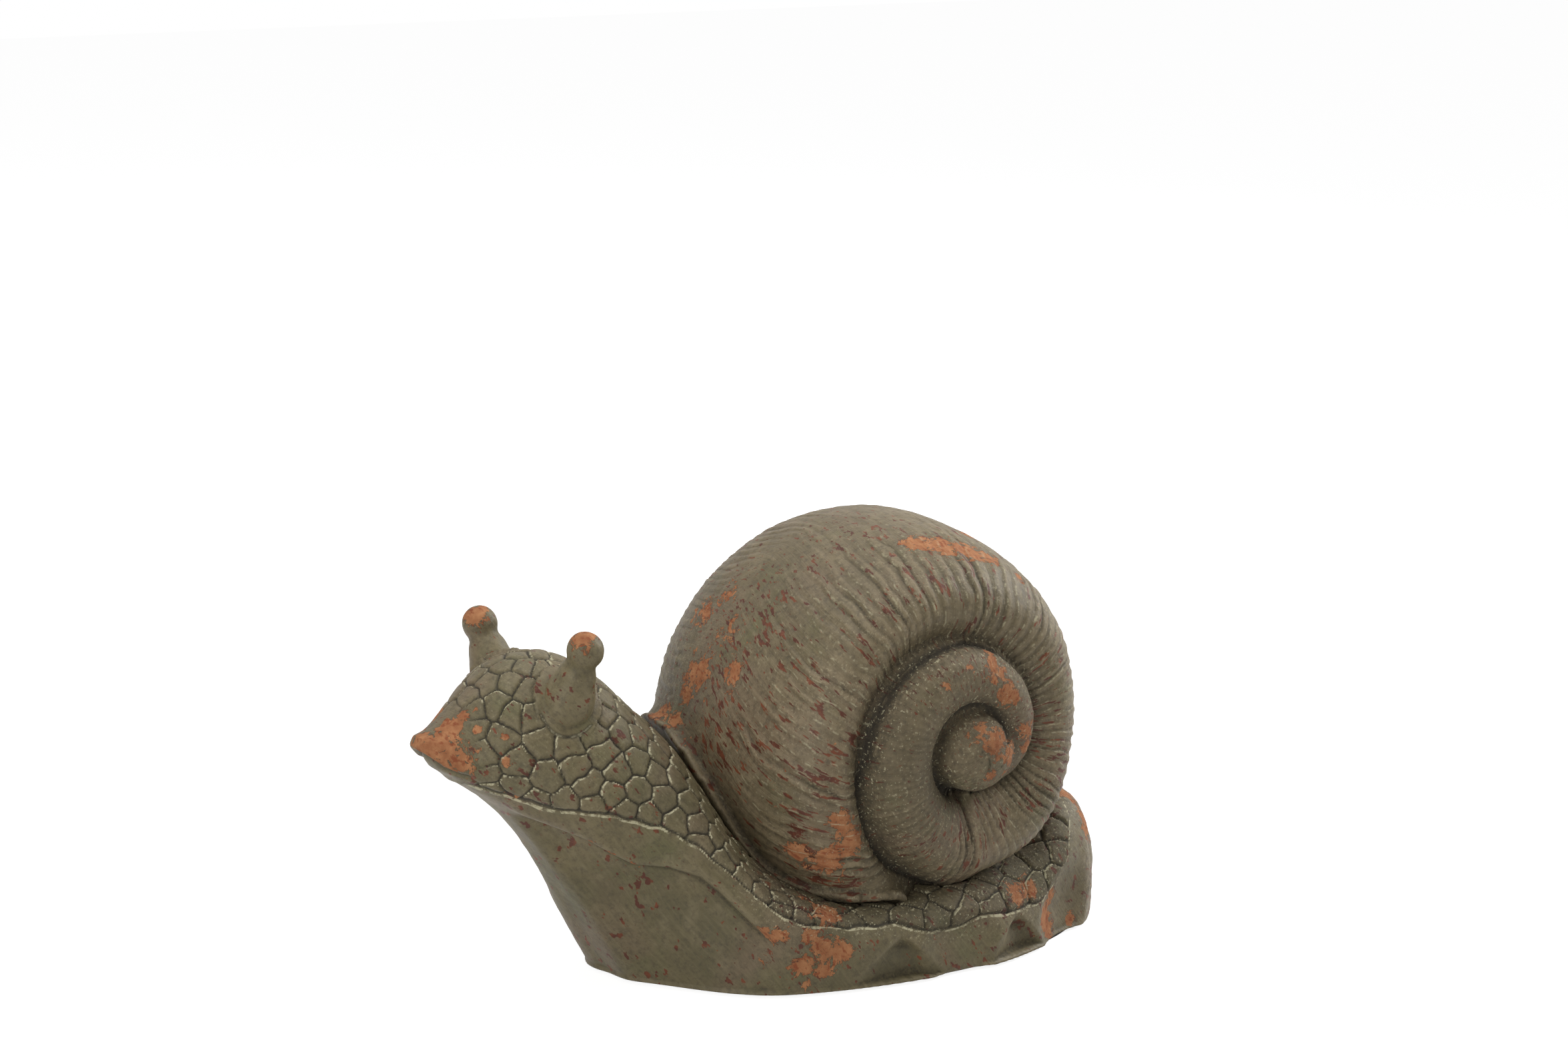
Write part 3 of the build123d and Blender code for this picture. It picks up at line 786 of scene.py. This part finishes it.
def brushed_paint(m, paint, paint_dark, paint_light, streaks, crest_rub_and_highlight, hair):
    """Broad tone from green to warm grey, mottling, brush strokes, crests lightened by rubbing and a
    painted highlight, and pores.
    """
    tone = m.blend(m.sharp(m.noise(34.0, 4.0), 0.35, 0.65), paint_dark, paint)
    tone = m.blend(m.sharp(m.noise(46.0, 3.0, 0.5, 1.0), 0.50, 0.70, 0.0, 0.55), tone, WARM_GREY)
    tone = m.blend(m.sharp(m.noise(28.0, 3.0, 0.5, 0.5), 0.56, 0.72, 0.0, 0.50), tone, MOSS)
    tone = m.blend(m.sharp(m.noise(9.0, 5.0), 0.50, 0.80, 0.0, 0.40), tone, paint_light)
    tone = m.blend(m.sharp(hair, 0.50, 0.75, 0.0, streaks), tone, paint_light)
    tone = m.blend(m.sharp(hair, 0.28, 0.48, streaks, 0.0), tone, STROKE_SHADOW)
    # crests lighter: rubbed paint and a painted highlight
    tone = m.blend(m.sharp(m.mark("high"), 0.15, 1.0, 0.0, crest_rub_and_highlight), tone, paint_light)
    return m.blend(m.sharp(m.noise(2.6, 6.0, 0.75), 0.34, 0.52, 0.60, 0.0), tone, PORE_SHADOW)


def rust_flecks(m, tone, specks, patchy):
    """Rust-red flecks of all sizes, longer along the strokes."""
    large = m.more(m.strokes((3.0, 6.0, 5.0), 2.0, 0.6), patchy)
    small = m.more(m.strokes((0.9, 1.6, 1.3), 2.0, 0.5), patchy)
    fleck = m.times(m.sharp(large, specks, specks + 0.03), 0.92)
    mote = m.times(m.sharp(small, 0.715, 0.745), 0.75)
    rust = m.blend(m.sharp(m.noise(6.0), 0.45, 0.60), RUST_DARK, RUST)
    return m.blend(m.maths("MAXIMUM", fleck, mote), tone, rust)


def shade_in_creases(m, tone, deep, grit):
    """Painted shade in the creases and hollows, broken up by grit, darkest in the carved grooves."""
    gritty = m.times(deep, m.sharp(grit, 0.36, 0.64, 0.25, 1.45))
    tone = m.blend(m.sharp(gritty, 0.0, 1.0, 0.0, 0.74), tone, SHADE_TONE)
    return m.blend(m.sharp(m.mark("groove"), 0.28, 0.95, 0.0, 0.80), tone, GROOVE_SHADE_TONE)


def worn_through(m, tone, patchy):
    """Bare clay in ragged patches, with a thin dark edge of paint. Returns where it is bare too."""
    clay_tone = m.blend(m.sharp(m.noise(5.0, 5.0), 0.35, 0.70), CLAY_DARK, CLAY)
    red = m.sharp(m.strokes((2.4, 4.0, 3.0), 4.0, 0.6), 0.53, 0.63, 0.0, 0.80)
    clay_tone = m.blend(red, clay_tone, CLAY_RED)
    tear = m.times(m.maths("SUBTRACT", m.noise(8.0, 9.0, 0.74, 1.5), 0.5), 2.8)
    nibble = m.times(m.maths("SUBTRACT", m.noise(2.6, 5.0, 0.7), 0.5), 1.2)
    ragged = m.more(m.mark("wear"), m.more(tear, nibble))
    flake = m.sharp(m.more(m.noise(6.5, 6.0, 0.62, 0.3), patchy), 0.718, 0.730)
    bare = m.maths("MAXIMUM", m.sharp(ragged, WEAR_LEVEL, WEAR_LEVEL + 0.03), flake)
    edge = m.times(m.sharp(ragged, WEAR_LEVEL - 0.10, WEAR_LEVEL), m.maths("SUBTRACT", 1.0, bare))
    return m.blend(m.times(edge, 0.45), m.blend(bare, tone, clay_tone), CHIP_EDGE), bare


def pale_dust_and_highlight(m):
    """Share of pale dust and painted highlight on the lower edge of the carved lines, and of pale dust
    among the crumbs.
    """
    lines = m.times(m.sharp(m.mark("dust_and_highlight"), 0.35, 0.60), m.sharp(m.noise(3.4, 4.0, 0.7), 0.42, 0.54))
    specks = m.times(m.mark("crumb"), m.sharp(m.noise(1.3, 3.0, 0.6), 0.61, 0.66))
    return m.maths("MAXIMUM", m.times(lines, 0.72), m.times(specks, 0.60))


def growth_lines(m, height, dust_and_highlight):
    """Adds fine lines of growth: narrow crests, pale near the seam with dust and a painted highlight."""
    rib = m.mark("rib", "Vector")
    number, strength, near_seam = node(m.tree, "ShaderNodeSeparateXYZ", None, i0=rib).outputs[:3]
    count = m.more(number, m.times(m.noise(7.0, 3.0), 0.5))
    line = m.maths("ABSOLUTE", m.maths("SUBTRACT", m.maths("FRACT", count), 0.5))
    thin = m.maths("SUBTRACT", m.maths("FRACT", m.times(count, 2.7)), 0.5)
    thin = m.times(m.maths("ABSOLUTE", thin), strength)
    crest = m.times(m.sharp(line, 0.36, 0.0), strength)
    height = m.more(m.more(height, m.times(crest, 0.62)), m.times(thin, 0.16))
    # pale threads on the crests near the seam: dust and painted highlight
    thread = m.times(m.sharp(line, 0.11, 0.02), m.sharp(m.noise(4.5, 4.0, 0.65), 0.50, 0.62))
    return height, m.maths("MAXIMUM", dust_and_highlight, m.times(m.times(thread, near_seam), 0.45))


def painted_terracotta(name, paint, paint_dark, paint_light, specks, streaks, crest_rub_and_highlight, ribbed):
    """Fired terracotta under a brushed matt paint that is rubbed through in ragged patches.

    To the eye: flat olive grey-green with fine strokes, orange clay with hard ragged borders, rust-red
    flecks, painted shade in the creases, crests lighter with a painted highlight, pale dust and painted
    highlight in the carved lines.
    """
    m = Shader(name)
    hair = m.strokes((0.9, 16.0, 9.0), 3.0)
    grit = m.noise(1.5, 5.0, 0.7)
    patchy = m.sharp(m.noise(42.0, 2.0), 0.35, 0.65, -0.06, 0.05)
    # painted shade: the shade mark, and hollows that sit below their neighbourhood
    deep = m.maths("MAXIMUM", m.mark("painted_shade"), m.sharp(m.mark("high"), -0.15, -1.0, 0.0, 0.75))

    tone = brushed_paint(m, paint, paint_dark, paint_light, streaks, crest_rub_and_highlight, hair)
    tone = rust_flecks(m, tone, specks, patchy)
    tone = shade_in_creases(m, tone, deep, grit)
    tone, bare = worn_through(m, tone, patchy)
    dust_and_highlight = pale_dust_and_highlight(m)

    height = m.times(m.noise(0.9, 4.0, 0.6), 0.14)
    height = m.more(height, m.times(grit, m.times(m.mark("crumb"), 0.70)))
    height = m.more(height, m.times(hair, 0.16))
    if ribbed:
        height, dust_and_highlight = growth_lines(m, height, dust_and_highlight)
    height = m.maths("SUBTRACT", height, m.times(bare, 0.22))
    tone = m.blend(dust_and_highlight, tone, DUST_AND_HIGHLIGHT_TONE)
    roughness = m.sharp(m.maths("MAXIMUM", bare, deep), 0.0, 1.0, PAINT_ROUGH, BARE_ROUGH)
    return m.finish(tone, roughness, height, (0.9, 0.0011), PAINT_IOR)


def plain(name, colours, roughness, grain_mm, depth):
    """Unpainted clay or felt: to the eye one dull colour with a fine grain."""
    m = Shader(name)
    fine = m.noise(grain_mm, 4.0, 0.5)
    return m.finish(m.blend(fine, *colours), roughness, fine, (0.6, depth * MM))


skin_paint = painted_terracotta(
    "painted_terracotta_skin", paint="6C6247", paint_dark="5A533B", paint_light="877B60",
    specks=0.625, streaks=0.24, crest_rub_and_highlight=0.25, ribbed=False,
)
shell_paint = painted_terracotta(
    "painted_terracotta_shell", paint="6F634B", paint_dark="5C523C", paint_light="8B7D62",
    specks=0.612, streaks=0.26, crest_rub_and_highlight=0.50, ribbed=True,
)
bare_clay = plain("bare_terracotta", ("94603F", "A8734E"), 0.8, 2.0, 0.25)
felt = plain("pressed_felt", ("1F1D1B", "35322E"), 0.95, 0.8, 0.3)


# ---- build the pieces -------------------------------------------------------------------------
def fill_shell(target):
    ball(target, CORE, CORE_FILL_R)
    drum(target, CORE, HOLE_FILL_R, SHELL_FLOOR, 70.0)


# balls that fill the hollow of the neck: X, height, radius
NECK_FILL = [
    (-80.0, 22.0, 27.0), (-95.0, 38.0, 27.5), (-110.0, 56.0, 26.5), (-122.0, 71.0, 24.0),
    (-134.0, 84.0, 20.5), (-141.0, 92.0, 16.5), (-146.0, 97.0, 12.5),
]


def fill_skin(target):
    for x, z, r in NECK_FILL:
        ball(target, (x, 0.0, z), r)
    drum(target, CORE, HOLE_FILL_R, 10.0, SHELL_FLOOR)
    copy_of("base_slab", target, FELT_T * MM, (1.008, 1.012, SLAB_RISE))


SHELL_SOLIDS = ["shell_body_whorl", "shell_second_whorl", "shell_apex_whorl", "shell_lip"]
shell = clay("shell", SHELL_SOLIDS, SHELL_VOXEL, SMOOTH_ROUNDS, fill_shell)
turn, on_lip = carve_shell(shell)
near_side = points_of(shell)[:, 1] < 0.0
last = (turn > -0.50) & ~on_lip
inner = (turn <= -0.50) & (turn > APEX_FADE[0]) & ~on_lip
apex = (turn <= APEX_FADE[0]) & ~on_lip
for name, keep, solid in (
    ("shell_last_whorl", last & near_side, "shell_body_whorl"),
    ("shell_far_side", last & ~near_side, "shell_body_whorl"),
    ("shell_inner_whorl", inner, "shell_second_whorl"),
    ("shell_apex", apex, "shell_apex_whorl"),
    ("lip", on_lip, "shell_lip"),
):
    shown(name, shell, keep, "root", "shell_clay", shell_paint, solid)

skin = clay("skin", ["body", "eye_stalk_left", "eye_stalk_right"], SKIN_VOXEL, SMOOTH_ROUNDS, fill_skin)
stalk = carve_skin(skin)
x, y = points_of(skin)[:, :2].T
for name, keep, slot, solid in (
    ("head_and_neck", (x < HEAD_END_X) & ~stalk, "body_clay", "body"),
    ("foot", (x >= HEAD_END_X) & (x < TAIL_START_X), "body_clay", "body"),
    ("tail", x >= TAIL_START_X, "body_clay", "body"),
    ("stalk_left", stalk & (y < 0.0), "stalk_clay", "eye_stalk_left"),
    ("stalk_right", stalk & (y > 0.0), "stalk_clay", "eye_stalk_right"),
):
    shown(name, skin, keep, "root", slot, skin_paint, solid)

for mesh in (shell, skin):
    bpy.data.meshes.remove(mesh)
for name, finish in (("base_slab", bare_clay), ("felt_sheet", felt)):
    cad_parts[name].data.materials.clear()
    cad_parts[name].data.materials.append(finish)

# ---- stage ----------------------------------------------------------------------------------------
scene = bpy.context.scene
scene.view_settings.view_transform = "Standard"

WHITE = (1.0, 1.0, 1.0, 1.0)
FLOOR_GREY = (0.55, 0.55, 0.55, 1.0)
FLOOR_LIFT = 0.86     # brings the floor up to white for the eye alone
ROOM_LIGHT = 0.22     # light of the white room on the object
FLOOR_REACH = 6.0


def white_to_eye(tree):
    """1 for the rays that see the background, straight, mirrored or through, and 0 for those that light."""
    path = node(tree, "ShaderNodeLightPath")
    seen = path.outputs["Is Camera Ray"]
    for kind in ("Is Glossy Ray", "Is Transmission Ray"):
        seen = node(
            tree, "ShaderNodeMath", {"operation": "MAXIMUM"}, i0=seen, i1=path.outputs[kind]
        ).outputs[0]
    return seen


floor_mesh = bpy.data.meshes.new("floor")
corners = [(a * FLOOR_REACH, b * FLOOR_REACH, 0.0) for a, b in ((-1, -1), (1, -1), (1, 1), (-1, 1))]
floor_mesh.from_pydata(corners, [], [(0, 1, 2, 3)])
floor = bpy.data.objects.new("floor", floor_mesh)
scene.collection.objects.link(floor)
paper = bpy.data.materials.new("white_paper")
paper.use_nodes = True
tree = paper.node_tree
tree.nodes.clear()
sheet = node(tree, "ShaderNodeBsdfDiffuse", None, Color=FLOOR_GREY)
lift_strength = node(
    tree, "ShaderNodeMath", {"operation": "MULTIPLY"}, i0=white_to_eye(tree), i1=FLOOR_LIFT
).outputs[0]
glow = node(tree, "ShaderNodeEmission", None, Color=WHITE, Strength=lift_strength)
both = node(tree, "ShaderNodeAddShader", None, i0=sheet.outputs[0], i1=glow.outputs[0])
node(tree, "ShaderNodeOutputMaterial", None, Surface=both.outputs[0])
floor_mesh.materials.append(paper)

world = bpy.data.worlds.new("studio")
scene.world = world
world.use_nodes = True
tree = world.node_tree
tree.nodes.clear()
strength = node(
    tree, "ShaderNodeMapRange", None, i0=white_to_eye(tree), i1=0.0, i2=1.0, i3=ROOM_LIGHT, i4=1.0
).outputs[0]
sky = node(tree, "ShaderNodeBackground", None, Color=WHITE, Strength=strength)
node(tree, "ShaderNodeOutputWorld", None, Surface=sky.outputs[0])


def softbox(name, place, size, watts):
    """Square lamp that faces the figurine."""
    lamp = bpy.data.lights.new(name, "AREA")
    lamp.size = size
    lamp.energy = watts
    holder = bpy.data.objects.new(name, lamp)
    scene.collection.objects.link(holder)
    holder.location = place
    aim = Vector((0.0, 0.0, 0.1)) - Vector(place)
    holder.rotation_euler = aim.to_track_quat("-Z", "Y").to_euler()


softbox("top", place=(-0.15, 0.05, 1.55), size=1.2, watts=16.0)
softbox("left", place=(-1.5, -0.8, 0.45), size=0.9, watts=12.8)
softbox("right", place=(1.45, -0.20, 0.95), size=0.9, watts=23.5)

# ---- camera: fitted to the photograph -------------------------------------------------------------
IMAGE_WIDTH_PX = 2351
LENS_PX = 5530.0
SENSOR_MM = 36.0
CLIP_END = 50.0
CAMERA_PLACE = (-0.92995, -1.32811, 0.51120)
CAMERA_DOWN = 11.2476       # degrees below level
CAMERA_TURN = -34.271       # degrees about Z
camera_data = bpy.data.cameras.new("camera")
camera_data.sensor_width = SENSOR_MM
camera_data.lens = LENS_PX * SENSOR_MM / IMAGE_WIDTH_PX
camera_data.clip_end = CLIP_END
camera = bpy.data.objects.new("camera", camera_data)
camera.location = CAMERA_PLACE
camera.rotation_euler = (math.radians(90.0 - CAMERA_DOWN), 0.0, math.radians(CAMERA_TURN))
scene.collection.objects.link(camera)
scene.camera = camera
